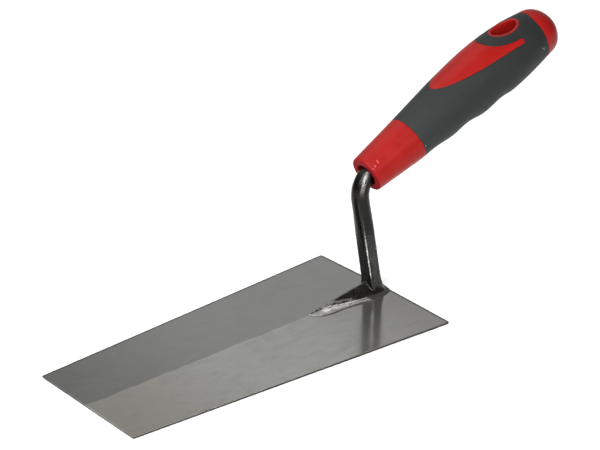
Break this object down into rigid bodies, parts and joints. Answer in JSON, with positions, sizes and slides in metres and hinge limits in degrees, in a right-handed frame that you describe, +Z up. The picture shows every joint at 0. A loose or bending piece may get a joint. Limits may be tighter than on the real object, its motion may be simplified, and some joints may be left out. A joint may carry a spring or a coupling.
{
  "type": "brick trowel",
  "caption": "Hand trowel for laying mortar: flat tapered steel blade, cranked forged shank on a welded foot, and a contoured two-shot grip handle with a hanging hole.",
  "frame": {"origin": "middle of the blade's flat underside, on the centreline, half way between toe and heel", "axes": "+X along the blade's centreline from the toe to the handle, +Y to the blade's side, +Z up out of the blade's upper face"},
  "size_m": [0.2969, 0.1048, 0.1232],
  "materials": {
    "blade_steel": "semi-gloss ground steel with fine lengthwise grain, faint mottling and light scratches",
    "forged_steel": "dark oiled forging scale with pits, worn bright on the ridges and the foot's facets",
    "weld_metal": "weld bead ground bright along its top, with dark pits, and left dark towards the heel",
    "red_plastic": "semi-gloss hard red moulded plastic",
    "grey_grip": "matte dark grey soft-touch elastomer"
  },
  "bodies": {
    "root": {"blade": "blade_steel", "shank": "forged_steel", "weld_near": "weld_metal", "weld_far": "weld_metal", "handle_core": "red_plastic", "grip_sleeve": "grey_grip"}
  },
  "joints": []
}
